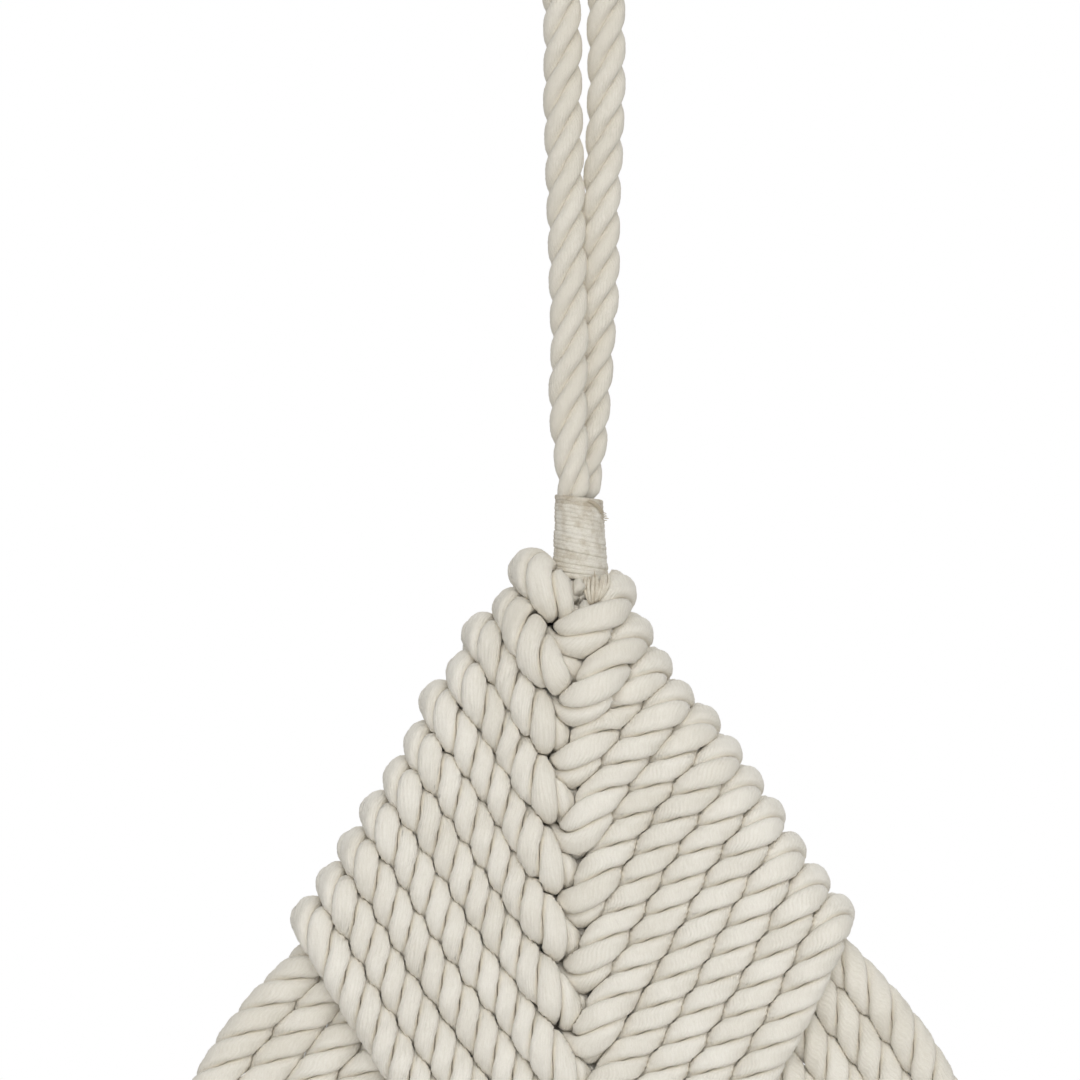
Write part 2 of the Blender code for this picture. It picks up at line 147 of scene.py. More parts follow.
# How unevenly it is wound, each as how much, and over how many steps it changes
TWINE_LOOSE = (0.14, 17.0)
TWINE_SLIP = (0.19, 19.0)
TWINE_UNEVEN = (0.05, 11.0)
TWINE_PATCHY = (0.15, 29.0)

# Its first turns are duller: how many, how fast that fades, and how much duller
DULL_TURNS = 2.0
DULL_TURNS_FADE = 0.9
DULL_TURNS_TONE = 0.75

# The loop's ends under the whipping: one in front, swelling out, and one behind
LOOP_LEFT_END = ((0.3, -10.9, -241.6), (-0.7, -9.4, -239.6))
TONGUE_SWELL = 0.16
LOOP_RIGHT_END = ((1.3, 2.0, -241.0), (0.6, 0.4, -243.6))

# The frayed yarns under the whipping, as the top, the middle and the end of each
TUFT_YARNS = 7
TUFT_FIRST = ((1.5, -8.8, -236.3), (1.3, -11.2, -239.8), (2.7, -12.4, -243.7))
TUFT_LAST = ((7.3, -7.6, -235.8), (7.4, -11.4, -238.5), (4.7, -12.8, -242.8))
TUFT_YARN_RADIUS = 0.56
TUFT_YARN_SIZES = (0.85, 0.3)
TUFT_YARN_TONE = 0.6
TUFT_BULGE = 0.9
TUFT_RUFFLE = 0.16

# The tuft's loose fibres, as x, the top and the end of each, and how they hang to a side
TUFT_FIBRES = ((3.7, -234.9, -238.6), (5.9, -236.3, -239.4), (2.4, -236.4, -240.8))
TUFT_FIBRE_Y = (-10.0, -10.4)
TUFT_FIBRE_ASIDE = (0.1, 0.4)
TUFT_FIBRE_RADIUS = 0.16
TUFT_FIBRE_TONE = 2.0
FIBRE_SIDES = 5

# The twine's own end on the whipping
TWINE_END_X = (1.9, 3.4, 4.8, 5.9)
TWINE_END_Z = (-216.6, -217.1, -218.3, -219.9)
TWINE_END_LIFT = 0.25
TWINE_END_RADIUS = 0.62
TWINE_END_TONE = 1.8

# The fibres that stand off from it: root, bend, tip and side, and how each lies lower
TWINE_FIBRES = 5
FIBRE_ROOT = (5.6, -3.4, 0.6)
FIBRE_BEND = (5.8, -3.6, -219.6)
FIBRE_TIP = (0.5, 0.5)
FIBRE_SIDE = (6.2, 0.9)
FIBRE_PITCH = (0.3, 0.5)
TWINE_FIBRE_RADIUS = 0.14
TWINE_FIBRE_TONE = 1.2

# A loose yarn: its rings, the way its outside faces, its thin ends and its marks' lean
YARN_SIDES = 8
YARN_STEP = 0.35
YARN_OUTWARD = (0.2, -1.0, 0.1)
YARN_TAPER = 2.5
YARN_TAPER_SHARE = 0.45
YARN_LEAN = 0.4

# Settling: the ropes are pushed apart until they lie side by side
POINT_STEP = 3.0
SETTLE_ROUNDS = 240
NEAR = 16.0
NEIGHBOURS = 6
HOME_PULL = 0.015
SMOOTHING = 0.30
TAIL_STEP = 50.0

# ---------------- the laid rope
# Three strands a rope: how far each stands from the middle, and its own half sizes
STRANDS = 3
STRAND_OFFSET = 2.6
STRAND_DEEP = 2.6
STRAND_WIDE = 3.55
LOOP_DEEP = 2.75
LOOP_WIDE = 2.95
STRAND_SIDES = 14
STRAND_FULLNESS = 2.4
OUTER_BIAS = 0.30
FULL_RADIUS = STRAND_OFFSET + STRAND_DEEP

# How a strand's turn and size vary, each as how much, and over what length it changes
STRAND_WANDER = (0.08, 14.0)
STRAND_UNEVEN = (0.025, 11.0)

# The length of a full twist: in the loop and the tails, and in the legs of the plait.
# The first ropes on the right are laid looser still.
LAY_LENGTH = 28.4
LEG_LAY = 23.2
RIGHT_LAY = 26.2
TOP_LAY_MORE = 5.0
LAY_CHANGE = 20.0
PLAIT_PAST_DIVE = 5.0

# How large the loop, the plait's legs and the tails are beside the sizes above, and how
# much plumper the first ropes are
LOOP_SCALE = 0.96
LEG_SCALE = 1.14
TAIL_SCALE = 1.12
TOP_PLUMPER = 0.06
PLUMPER_ROPES = 1.5

# The loop's legs draw in above the whipping, and are pinched inside it
PRESSED_SCALE = 0.81
PRESSED_LENGTH = 22.0
PINCH_START = 0.4
PINCH_WITHIN = 1.8
LOOP_SHIFT = -0.55
TONGUE_WITHIN = 2.0

# Tones, from 0 for the lightest to 2 for the dullest: the first rope's, the loop's, and
# how far one strand may differ from another. The loop's tone is painted shade, darker for
# less light on it than on the plait. The looser lay and the tone of the first ropes both
# fade over TONE_ROPES.
TOP_TONE = 0.7
LOOP_SHADE_TONE = 1.25
TONE_ROPES = 3.0
TONE_SPREAD = 0.6

# Rings along a rope: closer together where it is seen near by
DENSE_STEP = 1.0
DENSE_ROUNDS = 6
FINE_STEP = 1.3
COARSE_STEP = 2.6
FINE_ABOVE = -380.0
LAST_STEP_SHARE = 0.6

# Strands press flat on each other halfway between them: in one rope they reach into each
# other by the overlap, and from rope to rope they are meant to end the gap apart
CELL_REACH = 7.0
CELL_GAP = 0.04
CELL_OVERLAP = 0.30
CELL_LEAST = 0.35
CELL_SHARP = 26.0
CELL_FACING = 0.03

# Posts that the strands press flat on: those that fill the whipping, and one at the
# inner side of the loop's crown, where it is hung
POST_REACH = 16.0
POST_RADIUS = 7.2
POST_STEP = 2.0
POST_BELOW = 1.0
POST_ROWS_Y = (-2.0, 0.0, 2.0)
CROWN_POST = ((0.0, 0.0, 0.0), 0.1)

# What lies on the ropes, the loop's end and the tuft, as balls that they end at
LYING_REACH = 12.0
TUFT_BALL_STEP = 0.4
TUFT_BALL_RADIUS = 0.85

# Yarns round each strand, and how they lean along it
YARNS = 20.0
YARN_TURN = -0.37
LEFT_YARN_TURN = -0.14
RIGHT_YARN_TURN = -0.50

# The turn of the strands where a rope goes round the edge, or where the loop starts
LEFT_PHASE = 0.4
RIGHT_PHASE = 0.4
LOOP_PHASE = 0.0
LOOP_LEFT_TURN = 0.41

# The camera: the photograph's pixels in the plane of the rope, and its lens
PIXEL = 0.2632
FRAME_SIDE = 1080
LENS = 200.0
SENSOR = 36.0
CENTRE_X = -10.53
CENTRE_Z = -226.83

# The light: a window in front and one behind, a room that is brighter above, a white
# backdrop straight behind, and the key light
ROOM_FRONT = 3.05
ROOM_BACK = 1.9
FRONT_AIM = (0.03, -0.955, 0.295)
BACK_AIM = (0.0, 0.90, 0.436)
WINDOW_SHARP = 10.0
ROOM_SIDE = 0.44
ROOM_ABOVE = 0.12
ROOM_LEVELS = (-0.5, 1.0)
BACKDROP_EDGE = (0.970, 0.980)
KEY_PLACE = (1.3, -1.7, 0.75)
KEY_AIM = (0.0, 0.0, -0.25)
KEY_SIDE = 0.9
KEY_POWER = 3.0
KEY_COLOUR = (1.0, 0.98, 0.95)

# The floor, in metres
FLOOR_HALF = 3.5
FLOOR_LEVEL = -0.95
FLOOR_SHADER = {"Base Color": (0.82, 0.81, 0.80, 1.0), "Roughness": 0.8}

# Each material's two tones, the inner colour painted into its sheltered grooves (painted light on
# rope and twine, painted shade in the tuft), how dull its spots are and how fine, and how strongly
# its yarns show, in bump and in painted shade between them
LOOKS = {
    "cotton": ((0.87, 0.84, 0.765, 1.0), (0.71, 0.67, 0.58, 1.0), (0.95, 0.90, 0.80, 1.0),
               0.30, 75.0, 0.65),
    "twine": ((0.89, 0.86, 0.775, 1.0), (0.50, 0.43, 0.32, 1.0), (0.92, 0.87, 0.76, 1.0),
              0.52, 330.0, 0.25),
    "frayed_yarn": ((0.92, 0.88, 0.77, 1.0), (0.52, 0.44, 0.32, 1.0), (0.50, 0.41, 0.29, 1.0),
                    0.30, 330.0, 0.3),
}
COTTON_SHADER = {"Roughness": 0.95, "Sheen Weight": 0.20, "Sheen Roughness": 0.6,
                 "Specular IOR Level": 0.15}

# Its noises, as scale, detail and roughness; the look gives the spots' scale
WANDER_NOISE = (90.0, 1.0, 0.5)
PATCH_NOISE = (110.0, 2.0, 0.6)
FIBRE_NOISE = (1.3, 4.0, 0.7)
GRAIN_NOISE = (2600.0, 2.0, 0.7)
SPOT_NOISE = (3.0, 0.6)

# The yarns: how far they wander, how round they are, and the patches that they show in.
# The fibres are stretched along them, and each strand has its own.
WANDER = 0.8
RIDGE_POWER = 0.8
PATCH_RANGE = (0.38, 0.66, 0.15, 1.0)
FIBRE_STRETCH = (2.6, 0.55, 91.0)

# What darkens the cotton's colour, as the range that counts and how much; for spots the look says
# it. The yarns' share is painted shade in the valleys between them, fibres, spots and grain are
# the cotton's own, and the tone carries the loop's painted shade
YARN_VALLEY_SHADE = 0.50
FIBRE_DULLS = (0.40, 0.70, 0.40)
SPOT_RANGE = (0.42, 0.70)
GRAIN_DULLS = (0.45, 0.75, 0.22)
TONE_DULLS = (0.0, 2.0, 0.90)

# How far yarns, fibres and grain stand out
YARN_HEIGHT = 0.65
FIBRE_HEIGHT = 0.75
GRAIN_HEIGHT = 0.25
BUMP_STRENGTH = 0.9
BUMP_DISTANCE = 0.28

# Painted light and shade: grooves that ambient occlusion finds sheltered take the inner colour,
# painted light on rope and twine, painted shade in the tuft
GROOVE_PAINT_REACH = 4.0
GROOVE_PAINT_SAMPLES = 4
GROOVE_PAINT_RANGE = (0.60, 0.15)
GROOVE_PAINT_MOST = 0.85


# ---------------- curves
def smooth_line(points, step):
    """A smooth line through the points, with a point every step along it.

    It is timed by the root of each stretch's length, so that a short stretch beside a
    long one doesn't swing out.
    """
    points = np.asarray(points, float)
    padded = np.vstack((2 * points[0] - points[1], points, 2 * points[-1] - points[-2]))
    spans = np.linalg.norm(np.diff(padded, axis=0), axis=1)[:, None] ** 0.5
    slopes = np.diff(padded, axis=0) / spans
    slopes = (slopes[:-1] * spans[1:] + slopes[1:] * spans[:-1]) / (spans[:-1] + spans[1:])
    parts = []
    for start, end, leave, arrive, span in zip(points, points[1:], slopes, slopes[1:], spans[1:]):
        t = np.linspace(0.0, 1.0, 24, endpoint=False)[:, None]
        parts.append((2 * t ** 3 - 3 * t ** 2 + 1) * start + (3 * t ** 2 - 2 * t ** 3) * end
                     + span * ((t ** 3 - 2 * t ** 2 + t) * leave + (t ** 3 - t ** 2) * arrive))
    parts.append(points[-1:])
    return resample(np.vstack(parts), step)


def arc_lengths(line):
    """How far along the line each of its points is."""
    return np.concatenate(([0.0], np.cumsum(np.linalg.norm(np.diff(line, axis=0), axis=1))))


def at_lengths(line, lengths):
    """Points of the line at the given distances along it."""
    along = arc_lengths(line)
    return np.stack([np.interp(lengths, along, line[:, axis]) for axis in range(3)], axis=1)


def resample(line, step):
    """The same line with its points evenly spaced."""
    if line.shape[1] == 2:
        line = np.insert(line, 1, 0.0, axis=1)
    total = arc_lengths(line)[-1]
    count = max(2, round(total / step) + 1)
    return at_lengths(line, np.linspace(0.0, total, count))


def ease(value):
    """Zero below 0, one above 1, and a smooth step between."""
    value = np.clip(value, 0.0, 1.0)
    return value * value * (3.0 - 2.0 * value)


# ---------------- routes
def tail_points(side, number, dive):
    """x and z of a tail, from below its dive to where it hangs straight."""
    if side > 0:
        hang_x = RIGHT_TAIL_X - RIGHT_TAIL_PITCH * number
        centre_x = RIGHT_TAIL_X - TAIL_ARC_RADIUS
    else:
        hang_x = LEFT_TAIL_X + LEFT_TAIL_PITCH * number
        centre_x = LEFT_TAIL_X + TAIL_ARC_RADIUS
    radius = abs(hang_x - centre_x)
    points = []
    for angle in np.linspace(math.pi / 2 - TAIL_LEAN, 0.0, 5):
        x = centre_x + side * radius * math.cos(angle)
        z = TAIL_ARC_Z + radius * math.sin(angle)
        if z < dive[1] - 9.0:
            points.append((x, z))
    lowest = min([dive[1]] + [z for _, z in points] + [TAIL_ARC_Z])
    return points + [(hang_x, lowest - 17.0), (hang_x, lowest - 34.0)]


def rope_route(side, number, row):
    """One plaited rope: from its end on the back, round the edge, to its tail.

    side is -1 for a rope that comes round the left edge and 1 for the right. The
    numbers of the points where it turns round the edge and dives come with it.
    """
    leg = dict(zip(LEG_COLUMNS, row))
    corners = [(leg[name + "_x"], leg[name + "_z"]) for name in ("edge", "upper", "lower", "dive")]
    leg_length = arc_lengths(smooth_line(corners, POINT_STEP))[-1]
    front = smooth_line(corners + tail_points(-side, number, corners[-1]), POINT_STEP)
    along = arc_lengths(front)
    turned = np.sqrt(np.clip(1.0 - (1.0 - np.minimum(along, LAYER) / LAYER) ** 2, 0.0, 1.0))
    dived = ease((along - leg_length + DIVE_BEFORE) / (DIVE_BEFORE + DIVE_AFTER))
    crown = BULGE * np.exp(-((along - leg_length + 9.0) / 7.0) ** 2)
    front[:, 1] = -(LAYER * turned + crown) * (1.0 - dived)

    on_leg = along <= leg_length + 1.0
    back = front[on_leg][1:].copy()
    back[:, 2] -= BACK_DROP * ease(along[on_leg][1:] / leg_length)
    tucked = ease((along[on_leg][1:] - leg_length + 7.0) / 8.0)
    back[:, 1] = (LAYER * turned[on_leg][1:] + crown[on_leg][1:] * (1.0 - tucked)
                  - BACK_TUCK * tucked)
    return np.vstack((back[::-1], front)), len(back), len(back) + int(np.sum(on_leg)) - 1


def hanging_tail(line, number, side):
    """The settled rope, and on down to its cut end with a slight sway in depth."""
    x, y, z = line[-1]
    end_z = TAIL_END_Z + TAIL_END_SPREAD * math.sin(5.1 * number + side)
    levels = np.linspace(z, end_z, max(2, round((z - end_z) / TAIL_STEP)) + 1)[1:]
    sway = TAIL_SWAY * ease((z - levels) / 60.0) * np.sin(2.4 * number + side + levels / 47.0)
    return np.stack((np.full_like(levels, x), y + sway, levels), axis=1)


def loop_route():
    """The hanging loop, up its left leg, round the bight and down its right leg."""
    crown_z = ROPE_RADIUS - BIGHT_RADIUS
    bight = [(-BIGHT_RADIUS * math.cos(angle), 0.0, crown_z + BIGHT_RADIUS * math.sin(angle))
             for angle in np.linspace(0.0, math.pi, 9)]
    return smooth_line(list(LOOP_LEFT) + bight + list(reversed(LOOP_RIGHT)), 2.0)


def whipping_core():
    """Points down the middle of the whipping, that the ropes stay clear of.

    They end above its flat bottom, where the first ropes come close.
    """
    levels = np.arange(WHIPPING_TOP, WHIPPING_BOTTOM + WHIPPING_FLAT, -POINT_STEP)
    return np.stack((np.full_like(levels, WHIPPING_X), np.zeros_like(levels), levels), axis=1)


# ---------------- settling
def close_pairs(points, owner, order):
    """Pairs of points that may touch: on two ropes, or far apart on one."""
    firsts, seconds = [], []
    for index in range(len(points) - 1):
        offset = points[index + 1:] - points[index]
        near = np.einsum("ij,ij->i", offset, offset) < NEAR ** 2
        apart = ((owner[index + 1:] != owner[index])
                 | (order[index + 1:] - order[index] > NEIGHBOURS))
        hits = np.nonzero(near & apart)[0] + index + 1
        firsts.append(np.full(len(hits), index))
        seconds.append(hits)
    return np.concatenate(firsts), np.concatenate(seconds)


def settle(routes, dives, posts):
    """Push the ropes apart until they lie side by side without meeting.

    Past its dive a rope is pressed between the layers and takes less room. posts
    are (points, radius) of the pieces that don't give way.
    """
    lines = [line.copy() for line in routes] + [points for points, _ in posts]
    reaches = []
    for line, dive in zip(routes, dives):
        hidden = (np.arange(len(line)) > dive + 2) & (line[:, 2] > TAIL_ARC_Z)
        reaches.append(np.where(hidden, CORE_RADIUS, ROPE_RADIUS))
    reach = np.concatenate(reaches + [np.full(len(points), radius) for points, radius in posts])
    points = np.vstack(lines)
    owner = np.repeat(np.arange(len(lines)), [len(line) for line in lines])
    order = np.concatenate([np.arange(len(line)) for line in lines])
    home = points.copy()
    free = (owner < len(routes)) & (home[:, 2] > FIXED_BELOW)
    inner = np.zeros(len(points), bool)
    inner[1:-1] = (owner[1:-1] == owner[:-2]) & (owner[1:-1] == owner[2:])
    middle = np.nonzero(inner & free)[0]
    for turn in range(SETTLE_ROUNDS):
        if turn % 12 == 0:
            first, second = close_pairs(points, owner, order)
        last = turn > 0.8 * SETTLE_ROUNDS
        away = points - home
        mean = 0.5 * (away[middle - 1] + away[middle + 1])
        points[middle] += SMOOTHING * (mean - away[middle])
        if not last:
            points[free] -= HOME_PULL * away[free]
        offset = points[first] - points[second]
        distance = np.maximum(np.linalg.norm(offset, axis=1), 0.01)
        short = reach[first] + reach[second] + GAP - distance
        hit = short > 0.0
        a, b = first[hit], second[hit]
        share = np.where(free[a] & free[b], 0.5, 1.0)
        push = (offset[hit] / distance[hit, None]) * (short[hit] * share)[:, None]
        moved = np.zeros_like(points)
        count = np.zeros(len(points))
        np.add.at(moved, a, push)
        np.add.at(moved, b, -push)
        np.add.at(count, a, 1.0)
        np.add.at(count, b, 1.0)
        moved /= np.maximum(1.0, 0.6 * count)[:, None]
        points[free] += moved[free]
    ends = np.cumsum([len(line) for line in lines])
    return [points[end - len(line):end] for line, end in zip(lines, ends)][:len(routes)]


# ---------------- laid ropes
def smoothed(line, rounds):
    """The line with its small kinks eased out, and its ends left in place."""
    line = line.copy()
    for _ in range(rounds):
        line[1:-1] = 0.25 * line[:-2] + 0.5 * line[1:-1] + 0.25 * line[2:]
    return line


def rope_stations(line):
    """Points along a rope's middle: close together where it is seen near by."""
    dense = smoothed(smooth_line(line, DENSE_STEP), DENSE_ROUNDS)
    along = arc_lengths(dense)
    lengths = [0.0]
    while lengths[-1] < along[-1] - LAST_STEP_SHARE * FINE_STEP:
        z = np.interp(lengths[-1], along, dense[:, 2])
        lengths.append(lengths[-1] + (FINE_STEP if z > FINE_ABOVE else COARSE_STEP))
    lengths[-1] = along[-1]
    return at_lengths(dense, np.array(lengths)), np.array(lengths)


def unit(vectors):
    """The vectors at length one."""
    return vectors / np.maximum(np.linalg.norm(vectors, axis=-1, keepdims=True), 1e-9)


def frames(line):
    """Directions along, and two across, each point of the line, that never spin."""
    tangent = unit(np.gradient(line, axis=0))
    across = np.zeros_like(line)
    seed = np.array((0.0, -1.0, 0.0))
    across[0] = unit(seed - (seed @ tangent[0]) * tangent[0])
    for index in range(1, len(line)):
        kept = across[index - 1]
        across[index] = unit(kept - (kept @ tangent[index]) * tangent[index])
    return tangent, across, np.cross(tangent, across)


def full_round(turn, fullness):
    """Cosine and sine for an outline fuller than a circle."""
    out, side = np.cos(turn), np.sin(turn)
    power = 2.0 / fullness
    return np.sign(out) * np.abs(out) ** power, np.sign(side) * np.abs(side) ** power


def strand_section(deep, wide):
    """One strand's free outline from its own middle: outward, to the side, and its angle."""
    even = np.linspace(0.0, 2.0 * math.pi, STRAND_SIDES, endpoint=False)
    turn = even - OUTER_BIAS * np.sin(even)
    out, side = full_round(turn, STRAND_FULLNESS)
    return turn, deep * out, wide * side


def summed(rate, lengths):
    """A rate added up along the rope."""
    steps = np.diff(lengths) * 0.5 * (rate[1:] + rate[:-1])
    return np.concatenate(([0.0], np.cumsum(steps)))


def slow_noise(lengths, kind, rng):
    """A smooth random value along a rope. kind is how much it varies and how slowly."""
    amount, spacing = kind
    knots = np.arange(0.0, lengths[-1] + 2.0 * spacing, spacing)
    values = smoothed(rng.standard_normal(len(knots)), 1)
    return amount * np.interp(lengths, knots, values)


def lay_strands(rope, rng):
    """The strands of a rope: their middles, their directions and their sizes."""
    line, lengths = rope["line"], rope["lengths"]
    _, across, third = frames(line)
    plaited = 1.0 - ease((lengths - rope["plait_end"]) / LAY_CHANGE)
    angle = summed(2.0 * math.pi / (LAY_LENGTH + (rope["lay"] - LAY_LENGTH) * plaited), lengths)
    angle += rope["phase"] - np.interp(rope["turn"], lengths, angle)
    yarn_turn = YARN_TURN + (rope["yarn_turn"] - YARN_TURN) * plaited
    yarn_phase = summed(-yarn_turn * YARNS / (2.0 * math.pi), lengths)
    angle += slow_noise(lengths, STRAND_WANDER, rng)
    strands = []
    for number in range(STRANDS):
        place = angle + 2.0 * math.pi * number / STRANDS
        outward = np.cos(place)[:, None] * across + np.sin(place)[:, None] * third
        sideways = -np.sin(place)[:, None] * across + np.cos(place)[:, None] * third
        size = rope["scale"] * (1.0 + slow_noise(lengths, STRAND_UNEVEN, rng))
        middle = line + (STRAND_OFFSET * size)[:, None] * outward
        strands.append({"middle": middle, "outward": outward, "sideways": sideways,
                        "size": size, "lengths": lengths, "yarn_phase": yarn_phase,
                        "tone": rope["tone"] + TONE_SPREAD * rng.random()})
    return strands


def round_marks(turn, phase):
    """Where each point is round its tube, and how far the yarns have leant there."""
    marks = np.empty((len(phase), len(turn), 3))
    marks[..., 0] = np.cos(turn)[None, :]
    marks[..., 1] = np.sin(turn)[None, :]
    marks[..., 2] = phase[:, None]
    return marks


def near_points(strands):
    """For each ring of each strand, the middles of other strands that lie close."""
    middles = np.vstack([strand["middle"] for strand in strands])
    owner = np.repeat(np.arange(len(strands)), [len(strand["middle"]) for strand in strands])
    tree = KDTree(len(middles))
    for index, place in enumerate(middles):
        tree.insert(place, index)
    tree.balance()
    owners = owner.tolist()
    found = []
    for index, place in enumerate(middles):
        close = tree.find_range(place, CELL_REACH)
        found.append([hit for _, hit, _ in close if owners[hit] != owners[index]])
    most = max(len(hits) for hits in found)
    padded = np.full((len(found), most), -1)
    for row, hits in zip(padded, found):
        row[:len(hits)] = hits
    return middles, padded


def cell_limit(middle, rays, points, halves):
    """How far each ray may go before it is nearer to another point than to its own."""
    offset = points - middle[:, None, :]
    distance = np.maximum(np.linalg.norm(offset, axis=2), 0.01)
    reach = np.maximum(halves(distance), CELL_LEAST)
    toward = np.einsum("nkc,nmc->nmk", offset / distance[:, :, None], rays)
    facing = np.maximum(toward, CELL_FACING)
    return np.where(toward > CELL_FACING, reach[:, None, :] / facing, np.inf).min(axis=2)


def nearest(places, centres):
    """How far each place is from the nearest of the centres."""
    return np.linalg.norm(places[:, None] - centres[None], axis=2).min(axis=1)


def ball_limit(middle, rays, centres, radii):
    """How far each ray may go before it enters one of the balls."""
    offset = centres[None] - middle[:, None]
    along = np.einsum("nkc,nmc->nmk", offset, rays)
    square = (offset ** 2).sum(axis=2)[:, None, :]
    chord = radii[None, None, :] ** 2 - (square - along ** 2)
    reach = np.maximum(along - np.sqrt(np.maximum(chord, 0.0)), CELL_LEAST)
    return np.where((chord > 0.0) & (along > 0.0), reach, np.inf).min(axis=2)


def held_by_others(strand, rays, posts, lying, limit):
    """The limit made shorter by the posts beside a strand and the balls that lie on it."""
    centres = np.array([place for place, _ in posts])
    sizes = np.array([size for _, size in posts])
    beside = nearest(strand["middle"], centres) < POST_REACH
    if beside.any():
        held = cell_limit(strand["middle"][beside], rays[beside], centres[None],
                          lambda distance: distance - sizes)
        limit[beside] = np.minimum(limit[beside], held)
    for centres, radii in lying:
        under = nearest(strand["middle"], centres) < LYING_REACH
        if under.any():
            held = ball_limit(strand["middle"][under], rays[under], centres, radii)
            limit[under] = np.minimum(limit[under], held)
    return limit


def shape_strands(strands, posts, deep, wide, lying):
    """Each strand's surface, flattened where it meets the strands beside it.

    It is flattened at the posts too, and ends at the balls in lying, which stand for
    what lies on the ropes.
    """
    turn, out, side = strand_section(deep, wide)
    free = np.hypot(out, side)
    middles, near = near_points(strands)
    far_away = np.array((0.0, 0.0, 9999.0))
    counts = [len(strand["middle"]) for strand in strands]
    ropes_of = np.repeat(np.arange(len(strands)) // STRANDS, counts)
    start = 0
    for strand, count in zip(strands, counts):
        rays = (out / free)[None, :, None] * strand["outward"][:, None, :]
        rays = rays + (side / free)[None, :, None] * strand["sideways"][:, None, :]
        hits = near[start:start + count]
        points = np.where(hits[:, :, None] >= 0, middles[hits], far_away)
        same = (ropes_of[hits] == ropes_of[start]) & (hits >= 0)
        slack = np.where(same, CELL_OVERLAP, -CELL_GAP)
        limit = cell_limit(strand["middle"], rays, points,
                           lambda distance: 0.5 * (distance + slack))
        limit = held_by_others(strand, rays, posts, lying, limit)
        wanted = free[None, :] * strand["size"][:, None]
        reach = (wanted ** -CELL_SHARP + limit ** -CELL_SHARP) ** (-1.0 / CELL_SHARP)
        strand["points"] = strand["middle"][:, None, :] + reach[:, :, None] * rays
        strand["marks"] = round_marks(turn, strand["yarn_phase"])
        start += count


def tube_faces(stations, sides, start):
    """Quads round a tube whose points run ring by ring from start, and its end fans."""
    ring = np.arange(sides)
    step = np.arange(stations - 1)[:, None] * sides + start
    quads = np.stack((step + ring, step + np.roll(ring, -1), step + sides + np.roll(ring, -1),
                      step + sides + ring), axis=-1).reshape(-1, 4)
    first_cap = start + stations * sides
    low = np.stack((np.full(sides, first_cap), start + np.roll(ring, -1), start + ring), axis=-1)
    top = start + (stations - 1) * sides
    high = np.stack((np.full(sides, first_cap + 1), top + ring, top + np.roll(ring, -1)), axis=-1)
    return quads, np.vstack((low, high))


def tubes_mesh(name, tubes):
    """One mesh of several closed tubes, each with points, marks, lengths and tone."""
    places, marks, tone_rows, quads, fans = [], [], [], [], []
    start = 0
    for tube in tubes:
        points, mark = tube["points"], tube["marks"]
        stations, sides = points.shape[:2]
        rows = np.zeros((stations * sides, 3))
        rows[:, 0] = np.repeat(np.broadcast_to(tube["tone"], stations), sides)
        rows[:, 1] = np.repeat(tube["lengths"], sides)
        for values, target in ((points, places), (mark, marks)):
            ends = np.stack((values[0].mean(axis=0), values[-1].mean(axis=0)))
            target.append(np.vstack((values.reshape(-1, 3), ends)))
        tone_rows.append(np.vstack((rows, rows[:1], rows[-1:])))
        quad, fan = tube_faces(stations, sides, start)
        quads.append(quad)
        fans.append(fan)
        start += stations * sides + 2
    quads, fans = np.vstack(quads), np.vstack(fans)
    mesh = bpy.data.meshes.new(name)
    points = np.vstack(places) * MM
    mesh.vertices.add(len(points))
    mesh.vertices.foreach_set("co", points.ravel())
    mesh.loops.add(quads.size + fans.size)
    mesh.loops.foreach_set("vertex_index", np.concatenate((quads.ravel(), fans.ravel())))
    mesh.polygons.add(len(quads) + len(fans))
    starts = np.concatenate((np.arange(len(quads)) * 4, quads.size + np.arange(len(fans)) * 3))
    mesh.polygons.foreach_set("loop_start", starts)
    mesh.polygons.foreach_set("use_smooth", np.ones(len(starts), bool))
    for key, rows in (("strand", marks), ("tone_and_length", tone_rows)):
        layer = mesh.attributes.new(key, "FLOAT_VECTOR", "POINT")
        layer.data.foreach_set("vector", np.vstack(rows).ravel())
    mesh.update(calc_edges=True)
    mesh.validate()
    return mesh


def placed(name, data):
    """A new object in the scene, with its mesh, light or camera."""
    holder = bpy.data.objects.new(name, data)
    bpy.context.scene.collection.objects.link(holder)
    return holder


def new_piece(name, tubes, material, nodes):
    """A piece of the hanging, made of tubes, in place of its CAD nodes."""
    mesh = tubes_mesh(name, tubes)
    mesh.materials.append(material)
    piece = placed(name, mesh)
    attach(piece, "root")
    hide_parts(*nodes)
    return piece


def plaited_lines():
    """The settled middle of each plaited rope, and the points where it turns and dives."""
    names, routes, marks = [], [], []
    for side, word, legs in ((-1, "left", LEFT_LEGS), (1, "right", RIGHT_LEGS)):
        for number, row in enumerate(legs):
            line, turn, dive = rope_route(side, number, row)
            names.append(f"rope_{word}_{number + 1:02d}")
            routes.append(line)
            marks.append((side, number, turn, dive))
    loop = loop_route()
    legs_below = loop[loop[:, 2] < WHIPPING_BOTTOM + 1.0]
    core = whipping_core()
    posts = [(core, WHIPPING_BOTTOM_RADIUS + 0.3),
             (legs_below[legs_below[:, 1] < 0.0], BOUND_RADIUS),
             (legs_below[legs_below[:, 1] > 0.0], BOUND_RADIUS)]
    settled = settle(routes, [dive for _, _, _, dive in marks], posts)
    lines = []
    for line, (side, number, turn, dive) in zip(settled, marks):
        along = arc_lengths(line)
        whole = np.vstack((line, hanging_tail(line, number, side)))
        lines.append((whole, along[turn], along[dive], side, number))
    return names, lines, loop


